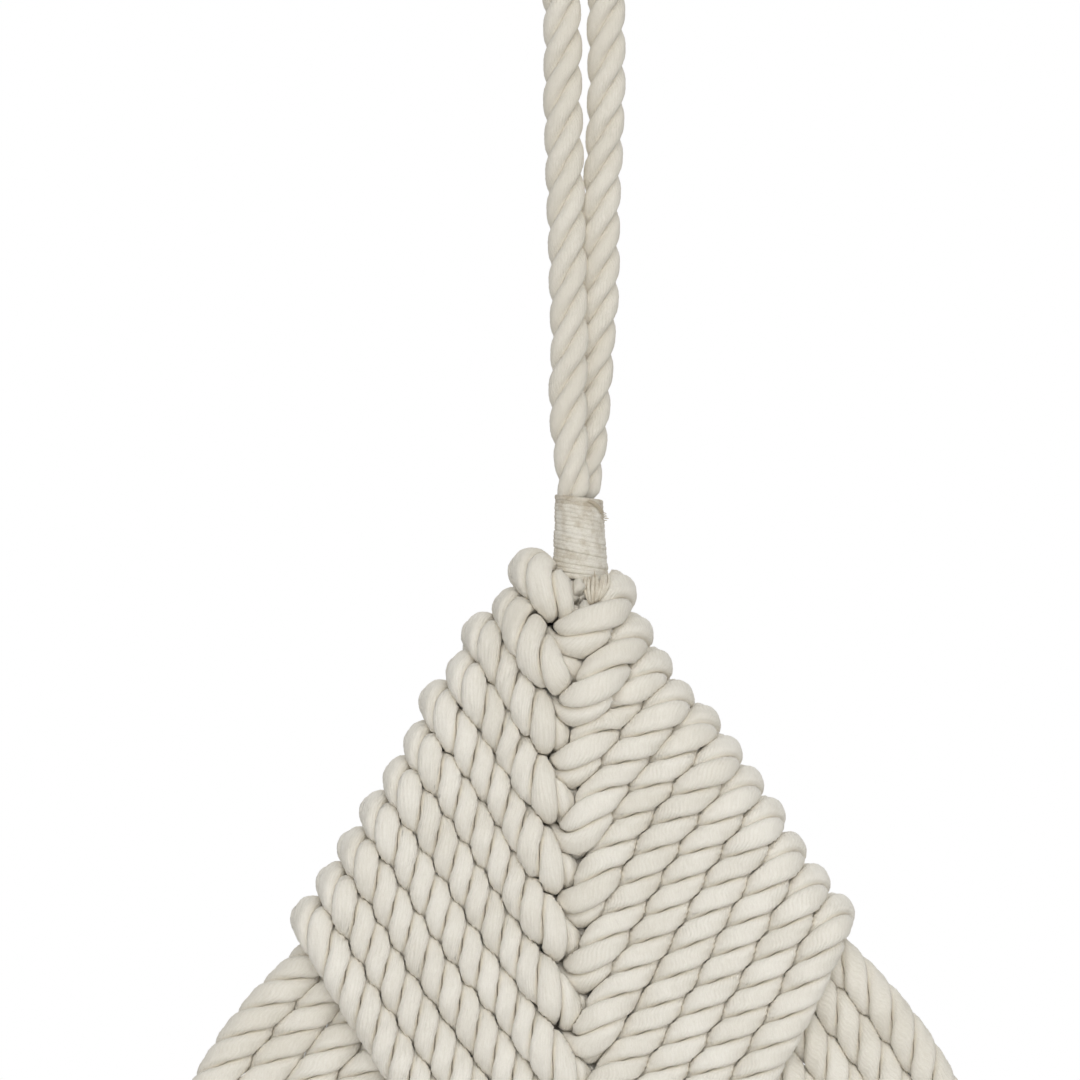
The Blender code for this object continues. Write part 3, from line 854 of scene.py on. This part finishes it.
def plaited_rope(name, whole, turn, dive, side, number):
    """A plaited rope's middle line, its sizes along it and where its twist starts."""
    line, lengths = rope_stations(whole)
    plait_end = dive + PLAIT_PAST_DIVE
    plaited = 1.0 - ease((lengths - plait_end) / LAY_CHANGE)
    leg_scale = LEG_SCALE * (1.0 + TOP_PLUMPER * math.exp(-number / PLUMPER_ROPES))
    near_top = math.exp(-number / TONE_ROPES)
    rope = {"name": name, "line": line, "lengths": lengths, "turn": turn,
            "scale": TAIL_SCALE + (leg_scale - TAIL_SCALE) * plaited,
            "plait_end": plait_end, "tone": TOP_TONE * near_top}
    if side < 0:
        rope.update(phase=LEFT_PHASE, lay=LEG_LAY, yarn_turn=LEFT_YARN_TURN)
    else:
        rope.update(phase=RIGHT_PHASE, lay=RIGHT_LAY + TOP_LAY_MORE * near_top,
                    yarn_turn=RIGHT_YARN_TURN)
    return rope


def loop_rope(loop):
    """The hanging loop: drawn in above the whipping, pinched in it, swelling below."""
    line, lengths = rope_stations(np.vstack((LOOP_LEFT_END, loop, LOOP_RIGHT_END)))
    pressed = ease((WHIPPING_TOP + PRESSED_LENGTH - line[:, 2]) / PRESSED_LENGTH)
    line[:, 0] += LOOP_SHIFT * pressed
    scale = LOOP_SCALE + pressed * (PRESSED_SCALE - LOOP_SCALE)
    pinch = ease((WHIPPING_TOP + PINCH_START - line[:, 2]) / PINCH_WITHIN)
    scale += pinch * (BOUND_RADIUS / FULL_RADIUS - scale)
    below = ease((WHIPPING_BOTTOM - line[:, 2]) / TONGUE_WITHIN)
    scale += TONGUE_SWELL * below * (line[:, 1] < 0.0)
    from_crown = lengths - 0.5 * lengths[-1]
    left_leg = 1.0 - ease(0.5 + from_crown / (math.pi * BIGHT_RADIUS))
    # the loop's tone is painted shade
    return {"name": "hanging_loop", "line": line, "lengths": lengths, "scale": scale,
            "turn": 0.0, "phase": LOOP_PHASE + LOOP_LEFT_TURN * left_leg,
            "plait_end": -LAY_CHANGE, "tone": LOOP_SHADE_TONE, "lay": LAY_LENGTH,
            "yarn_turn": YARN_TURN}


def all_ropes():
    """The plaited ropes and, last, the hanging loop."""
    names, lines, loop = plaited_lines()
    return [plaited_rope(name, *line) for name, line in zip(names, lines)] + [loop_rope(loop)]


def whipping_posts():
    """Round posts that fill the whipping, as places and radii."""
    levels = np.arange(WHIPPING_TOP, WHIPPING_BOTTOM - POST_BELOW, -POST_STEP)
    return [((WHIPPING_X, y, z), POST_RADIUS) for z in levels for y in POST_ROWS_Y]


def tuft_places():
    """The three places of each yarn of the tuft, before they are ruffled."""
    first, last = np.array(TUFT_FIRST), np.array(TUFT_LAST)
    for number in range(TUFT_YARNS):
        share = number / (TUFT_YARNS - 1)
        places = first + (last - first) * share
        places[:, 1] -= TUFT_BULGE * math.sin(math.pi * share)
        yield places


def tuft_balls():
    """The tuft's yarns as rows of balls."""
    rows = [smooth_line(places, TUFT_BALL_STEP) for places in tuft_places()]
    return [(row, np.full(len(row), TUFT_BALL_RADIUS)) for row in rows]


def tongue_balls(loop):
    """The loop's ends below the whipping, as balls that reach as far as their surface."""
    found = []
    for strand in loop:
        low = strand["middle"][:, 2] < WHIPPING_BOTTOM
        middle, points = strand["middle"][low], strand["points"][low]
        radii = np.linalg.norm(points - middle[:, None, :], axis=2).max(axis=1)
        found.append((middle, radii + CELL_GAP))
    return found


def add_ropes(material):
    """The plaited ropes and the hanging loop, each with its three strands."""
    rng = np.random.default_rng(7)
    ropes = all_ropes()
    groups = [lay_strands(rope, rng) for rope in ropes]
    plaited = [strand for group in groups[:-1] for strand in group]
    tuft = tuft_balls()
    shape_strands(groups[-1], [CROWN_POST], LOOP_DEEP, LOOP_WIDE, tuft)
    shape_strands(plaited, whipping_posts(), STRAND_DEEP, STRAND_WIDE,
                  tuft + tongue_balls(groups[-1]))
    for rope, group in zip(ropes, groups):
        new_piece("laid_" + rope["name"], group, material, [rope["name"]])


# ---------------- twine and tuft
def yarn_tube(middle, outward, thick, wide, tone, sides=TWINE_SIDES):
    """One yarn along its middle: thick outward, wide to the side, at each point."""
    tangent = unit(np.gradient(middle, axis=0))
    sideways = unit(np.cross(tangent, outward))
    outward = np.cross(sideways, tangent)
    turn = np.linspace(0.0, 2.0 * math.pi, sides, endpoint=False)
    out, side = full_round(turn, STRAND_FULLNESS)
    points = middle[:, None, :] + (thick[:, None] * out)[:, :, None] * outward[:, None, :]
    points = points + (wide[:, None] * side)[:, :, None] * sideways[:, None, :]
    lengths = arc_lengths(middle)
    return {"points": points, "marks": round_marks(turn, YARN_LEAN * lengths), "tone": tone,
            "lengths": lengths}


def rounded_ends(lengths, end):
    """One along the yarn, falling to a third at both of its ends."""
    near = np.minimum(np.minimum(lengths, lengths[-1] - lengths), end) / end
    return 0.33 + 0.67 * np.sqrt(np.clip(1.0 - (1.0 - near) ** 2, 0.0, 1.0))


def down_whipping(z):
    """How far down the whipping a level is, from 0 at its top to 1 at its bottom."""
    return np.clip((WHIPPING_TOP - z) / (WHIPPING_TOP - WHIPPING_BOTTOM), 0.0, 1.0)


def twine_radius(z):
    """The middle of the twine from the whipping's axis, to the side, at a level."""
    wider = TWINE_BOTTOM_RADIUS - TWINE_TOP_RADIUS
    return TWINE_TOP_RADIUS + wider * down_whipping(z) ** WHIPPING_TAPER


def twine_axis(z):
    """How far to the side the whipping's axis is at a level."""
    return TWINE_TOP_X + (WHIPPING_X - TWINE_TOP_X) * down_whipping(z)


def wound_twine(rng):
    """The whipping's twine, wound down from the top, its turns leaning most halfway."""
    count = TWINE_TURNS * TWINE_STEPS + 1
    turn = np.linspace(0.0, 2.0 * math.pi * TWINE_TURNS, count) + 0.5 * math.pi
    share = np.linspace(0.0, 1.0, count)
    top, bottom = WHIPPING_TOP - TWINE_WIDE, TWINE_BOTTOM + TWINE_WIDE
    level = top + (bottom - top) * share
    even = np.arange(count, dtype=float)
    radius = twine_radius(level) + slow_noise(even, TWINE_LOOSE, rng)
    x = radius * np.cos(turn)
    y = WHIPPING_DEEPER * radius * np.sin(turn)
    least, most = TWINE_TILT
    lean = least + (most - least) * np.sin(math.pi * share ** TWINE_TILT_POWER)
    z = level - lean * x + slow_noise(even, TWINE_SLIP, rng)
    middle = np.stack((twine_axis(level) + x, y, z), axis=1)
    outward = unit(np.stack((x, y, np.zeros(count)), axis=1))
    lengths = arc_lengths(middle)
    size = rounded_ends(lengths, TWINE_TAPER) * (1.0 + slow_noise(even, TWINE_UNEVEN, rng))
    tone = np.abs(slow_noise(even, TWINE_PATCHY, rng))
    past = (turn / (2.0 * math.pi) - DULL_TURNS) / DULL_TURNS_FADE
    tone += DULL_TURNS_TONE * (1.0 - ease(past))
    return yarn_tube(middle, outward, TWINE_THICK * size, TWINE_WIDE * size, tone)


def on_whipping(x, z, lift):
    """A place on the front of the whipping."""
    radius = twine_radius(z) + TWINE_THICK
    across = np.clip(x - twine_axis(z), -radius, radius)
    y = -WHIPPING_DEEPER * np.sqrt(radius ** 2 - across ** 2)
    return np.stack((x, y - lift, z), axis=-1)


def loose_yarn(places, radius, tone, sides=YARN_SIDES):
    """A short yarn through a few places, thinner at its ends."""
    middle = smooth_line(np.array(places), YARN_STEP)
    lengths = arc_lengths(middle)
    outward = np.broadcast_to(np.array(YARN_OUTWARD), middle.shape)
    size = radius * rounded_ends(lengths, min(YARN_TAPER, YARN_TAPER_SHARE * lengths[-1]))
    return yarn_tube(middle, outward, size, size, tone, sides)


def twine_end(rng):
    """The twine's own end laid across the first turns, with its fibres loose."""
    x, z = np.array(TWINE_END_X), np.array(TWINE_END_Z)
    places = on_whipping(x, z, TWINE_END_LIFT)
    tubes = [loose_yarn(places, TWINE_END_RADIUS, TWINE_END_TONE)]
    root_x, root_y, rise = FIBRE_ROOT
    bend_x, bend_y, bend_z = FIBRE_BEND
    for number in range(TWINE_FIBRES):
        side = FIBRE_SIDE[0] + FIBRE_SIDE[1] * rng.random()
        level = bend_z - FIBRE_PITCH[1] * number
        root = (root_x, root_y - FIBRE_PITCH[0] * number, level + rise)
        bend = (0.5 * (side + bend_x), bend_y, level)
        tip = (side + FIBRE_TIP[0], root_y, level - FIBRE_TIP[1] * rng.random())
        tubes.append(loose_yarn((root, bend, tip), TWINE_FIBRE_RADIUS, TWINE_FIBRE_TONE,
                                FIBRE_SIDES))
    return tubes


def tuft_tubes(rng):
    """The frayed yarns that hang out from under the whipping."""
    tubes = []
    for places in tuft_places():
        places += TUFT_RUFFLE * rng.standard_normal(places.shape)
        size = TUFT_YARN_SIZES[0] + TUFT_YARN_SIZES[1] * rng.random()
        tubes.append(loose_yarn(places, TUFT_YARN_RADIUS * size, TUFT_YARN_TONE * rng.random()))
    high, low = TUFT_FIBRE_Y
    halfway, at_end = TUFT_FIBRE_ASIDE
    for x, top, end in TUFT_FIBRES:
        places = [(x, high, top), (x + halfway, low, 0.5 * (top + end)), (x + at_end, low, end)]
        tubes.append(loose_yarn(places, TUFT_FIBRE_RADIUS, TUFT_FIBRE_TONE, FIBRE_SIDES))
    return tubes


def add_twine(twine, frayed):
    """The whipping and the tuft below it."""
    rng = np.random.default_rng(11)
    wound = [wound_twine(rng)] + twine_end(rng)
    new_piece("twine_whipping", wound, twine, ["whipping"])
    new_piece("frayed_tuft", tuft_tubes(rng), frayed, ["tuft"])


# ---------------- materials
def number_node(tree, operation, first, second=None):
    """A maths node fed by sockets or plain numbers."""
    node = tree.nodes.new("ShaderNodeMath")
    node.operation = operation
    for entry, value in enumerate((first, second)):
        if isinstance(value, (int, float)):
            node.inputs[entry].default_value = value
        elif value is not None:
            tree.links.new(value, node.inputs[entry])
    return node.outputs[0]


def add_share(tree, total, value, weight):
    """The total with a share of the value added."""
    return number_node(tree, "ADD", total, number_node(tree, "MULTIPLY", value, weight))


def new_material(name, values):
    """A material, its node tree, and its shader with the given inputs."""
    material = bpy.data.materials.new(name)
    material.use_nodes = True
    shader = material.node_tree.nodes["Principled BSDF"]
    for key, value in values.items():
        shader.inputs[key].default_value = value
    return material, material.node_tree, shader


def attribute_split(tree, name):
    """The three values of a vector attribute."""
    attribute = tree.nodes.new("ShaderNodeAttribute")
    attribute.attribute_name = name
    split = tree.nodes.new("ShaderNodeSeparateXYZ")
    tree.links.new(attribute.outputs["Vector"], split.inputs[0])
    return split.outputs[0], split.outputs[1], split.outputs[2]


def noise_node(tree, vector, scale, detail, roughness):
    """A noise texture's value."""
    noise = tree.nodes.new("ShaderNodeTexNoise")
    noise.inputs["Scale"].default_value = scale
    noise.inputs["Detail"].default_value = detail
    noise.inputs["Roughness"].default_value = roughness
    tree.links.new(vector, noise.inputs["Vector"])
    return noise.outputs[0]


def mapped(tree, value, low, high, to_low=0.0, to_high=1.0):
    """A value stretched from one range to another, and held there."""
    node = tree.nodes.new("ShaderNodeMapRange")
    node.inputs["From Min"].default_value = low
    node.inputs["From Max"].default_value = high
    node.inputs["To Min"].default_value = to_low
    node.inputs["To Max"].default_value = to_high
    tree.links.new(value, node.inputs["Value"])
    return node.outputs[0]


def blend_colour(tree, share, first, second):
    """A mix of two colours; each may be a socket or a plain colour."""
    node = tree.nodes.new("ShaderNodeMix")
    node.data_type = "RGBA"
    tree.links.new(share, node.inputs[0])
    for entry, value in ((6, first), (7, second)):
        if isinstance(value, tuple):
            node.inputs[entry].default_value = value
        else:
            tree.links.new(value, node.inputs[entry])
    return node.outputs[2]


def yarn_ridge(tree, yarn, place):
    """How far out the surface is across the yarns: one on a yarn, zero between two."""
    bent = add_share(tree, yarn, noise_node(tree, place, *WANDER_NOISE), WANDER)
    wave = number_node(tree, "SINE", number_node(tree, "MULTIPLY", bent, math.pi))
    return number_node(tree, "POWER", number_node(tree, "ABSOLUTE", wave), RIDGE_POWER)


def fibre_noise(tree, yarn, length, tone):
    """Fine fibres that run along the yarns, different on each strand."""
    place = tree.nodes.new("ShaderNodeCombineXYZ")
    for entry, (value, stretch) in enumerate(zip((yarn, length, tone), FIBRE_STRETCH)):
        tree.links.new(number_node(tree, "MULTIPLY", value, stretch), place.inputs[entry])
    return noise_node(tree, place.outputs[0], *FIBRE_NOISE)


def paint_groove_light_shade(tree, colour, inner):
    """The colour with painted light and shade: the inner colour in grooves that ambient occlusion
    finds sheltered.
    """
    occlusion = tree.nodes.new("ShaderNodeAmbientOcclusion")
    occlusion.samples = GROOVE_PAINT_SAMPLES
    occlusion.inputs["Distance"].default_value = GROOVE_PAINT_REACH * MM
    share = mapped(tree, occlusion.outputs["AO"], *GROOVE_PAINT_RANGE, 0.0, GROOVE_PAINT_MOST)
    return blend_colour(tree, share, colour, inner)


def bumped(tree, ridge, fibre, grain, ribs):
    """Normals that raise the yarns, the fibres and the grain."""
    height = number_node(tree, "MULTIPLY", ridge, YARN_HEIGHT * ribs)
    height = add_share(tree, height, fibre, FIBRE_HEIGHT)
    height = add_share(tree, height, grain, GRAIN_HEIGHT)
    bump = tree.nodes.new("ShaderNodeBump")
    bump.inputs["Strength"].default_value = BUMP_STRENGTH
    bump.inputs["Distance"].default_value = BUMP_DISTANCE * MM
    tree.links.new(height, bump.inputs["Height"])
    return bump.outputs[0]


def cotton_material(name, light, dull, inner, spots, spot_scale, ribs):
    """Soft spun cotton: yarns that show in patches, fine fibres, dull spots and grain, with
    painted shade between the yarns and painted light and shade in sheltered grooves.
    """
    material, tree, shader = new_material(name, COTTON_SHADER)
    cosine, sine, lean = attribute_split(tree, "strand")
    tone, length, _ = attribute_split(tree, "tone_and_length")
    place = tree.nodes.new("ShaderNodeTexCoord").outputs["Object"]
    angle = number_node(tree, "ARCTAN2", sine, cosine)
    around = number_node(tree, "MULTIPLY", angle, YARNS / (2.0 * math.pi))
    yarn = number_node(tree, "ADD", around, lean)
    ridge = yarn_ridge(tree, yarn, place)
    patches = mapped(tree, noise_node(tree, place, *PATCH_NOISE), *PATCH_RANGE)
    fibre = fibre_noise(tree, yarn, length, tone)
    spot = noise_node(tree, place, spot_scale, *SPOT_NOISE)
    grain = noise_node(tree, place, *GRAIN_NOISE)

    # painted shade in the valleys between the yarns, where the patches let them show
    valley_shade = number_node(tree, "SUBTRACT", 1.0, ridge)
    valley_shade = number_node(tree, "MULTIPLY", valley_shade, patches)
    dullness_and_shade = number_node(tree, "MULTIPLY", valley_shade, YARN_VALLEY_SHADE * ribs)
    for value, (low, high, most) in ((fibre, FIBRE_DULLS), (spot, (*SPOT_RANGE, spots)),
                                     (grain, GRAIN_DULLS), (tone, TONE_DULLS)):
        share = mapped(tree, value, low, high, 0.0, most)
        dullness_and_shade = number_node(tree, "ADD", dullness_and_shade, share)
    # painted light and shade: the inner colour in the grooves that ambient occlusion finds
    # sheltered
    colour = paint_groove_light_shade(tree, blend_colour(tree, dullness_and_shade, light, dull), inner)
    tree.links.new(colour, shader.inputs["Base Color"])

    raised = number_node(tree, "MULTIPLY", ridge, patches)
    tree.links.new(bumped(tree, raised, fibre, grain, ribs), shader.inputs["Normal"])
    return material


# ---------------- studio
def add_camera():
    """The photograph's camera: level, square on, from a long way off."""
    camera = bpy.data.cameras.new("camera")
    camera.lens = LENS
    camera.sensor_width = SENSOR
    holder = placed("camera", camera)
    distance = FRAME_SIDE * PIXEL * LENS / SENSOR
    holder.location = (CENTRE_X * MM, -distance * MM, CENTRE_Z * MM)
    holder.rotation_euler = (math.pi / 2.0, 0.0, 0.0)
    camera.clip_start = 0.01
    camera.clip_end = 50.0
    bpy.context.scene.camera = holder


def add_key_light():
    """A square soft light from the right."""
    light = bpy.data.lights.new("key_light", "AREA")
    light.shape = "SQUARE"
    light.size = KEY_SIDE
    light.energy = KEY_POWER
    light.color = KEY_COLOUR
    holder = placed("key_light", light)
    holder.location = KEY_PLACE
    toward = Vector(KEY_AIM) - Vector(KEY_PLACE)
    holder.rotation_euler = toward.to_track_quat("-Z", "Y").to_euler()


def window_light(tree, directions, aim, strength):
    """Light from one side of the room, fading away from the direction it is aimed from."""
    toward = number_node(tree, "MULTIPLY", directions[0], aim[0])
    for output, share in zip(directions[1:], aim[1:]):
        toward = add_share(tree, toward, output, share)
    toward = number_node(tree, "POWER", number_node(tree, "MAXIMUM", toward, 0.0), WINDOW_SHARP)
    return number_node(tree, "MULTIPLY", toward, strength)


def add_room():
    """A soft room with a window in front and one behind, and a white backdrop."""
    world = bpy.data.worlds.new("room")
    bpy.context.scene.world = world
    world.use_nodes = True
    tree = world.node_tree
    split = tree.nodes.new("ShaderNodeSeparateXYZ")
    direction = tree.nodes.new("ShaderNodeTexCoord").outputs["Generated"]
    tree.links.new(direction, split.inputs[0])
    front = window_light(tree, split.outputs, FRONT_AIM, ROOM_FRONT)
    back = window_light(tree, split.outputs, BACK_AIM, ROOM_BACK)
    above = mapped(tree, split.outputs[2], *ROOM_LEVELS, ROOM_SIDE - ROOM_ABOVE,
                   ROOM_SIDE + ROOM_ABOVE)
    soft = number_node(tree, "ADD", number_node(tree, "ADD", front, back), above)
    backdrop = mapped(tree, split.outputs[1], *BACKDROP_EDGE)
    share = number_node(tree, "MULTIPLY", number_node(tree, "SUBTRACT", 1.0, backdrop), soft)
    strength = number_node(tree, "ADD", share, backdrop)
    background = tree.nodes["Background"]
    background.inputs["Color"].default_value = (1.0, 1.0, 1.0, 1.0)
    tree.links.new(strength, background.inputs["Strength"])


def add_studio():
    """A pale floor under the fringe, the room and a soft light from the right."""
    add_room()
    add_key_light()
    material, _, _ = new_material("pale_floor", FLOOR_SHADER)
    mesh = bpy.data.meshes.new("floor")
    half, level = FLOOR_HALF, FLOOR_LEVEL
    mesh.from_pydata([(-half, -half, level), (half, -half, level), (half, half, level),
                      (-half, half, level)], [], [(0, 1, 2, 3)])
    mesh.materials.append(material)
    floor = placed("floor", mesh)
    floor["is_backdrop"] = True
    bpy.context.scene.view_settings.view_transform = "Standard"


def corners(box):
    """A box's two corners as plain lists of numbers."""
    return [[float(value) for value in corner] for corner in box]


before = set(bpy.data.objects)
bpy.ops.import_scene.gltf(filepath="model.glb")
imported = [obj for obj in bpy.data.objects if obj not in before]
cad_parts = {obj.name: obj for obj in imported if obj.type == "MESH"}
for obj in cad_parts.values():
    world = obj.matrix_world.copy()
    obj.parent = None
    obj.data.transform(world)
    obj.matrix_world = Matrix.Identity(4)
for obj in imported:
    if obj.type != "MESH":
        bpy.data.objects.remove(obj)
cad_box = corners(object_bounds())
add_camera()
cotton, twine, frayed = (cotton_material(name, *look) for name, look in LOOKS.items())
add_ropes(cotton)
add_twine(twine, frayed)
add_studio()
{"cad": cad_box, "visual": corners(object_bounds())}
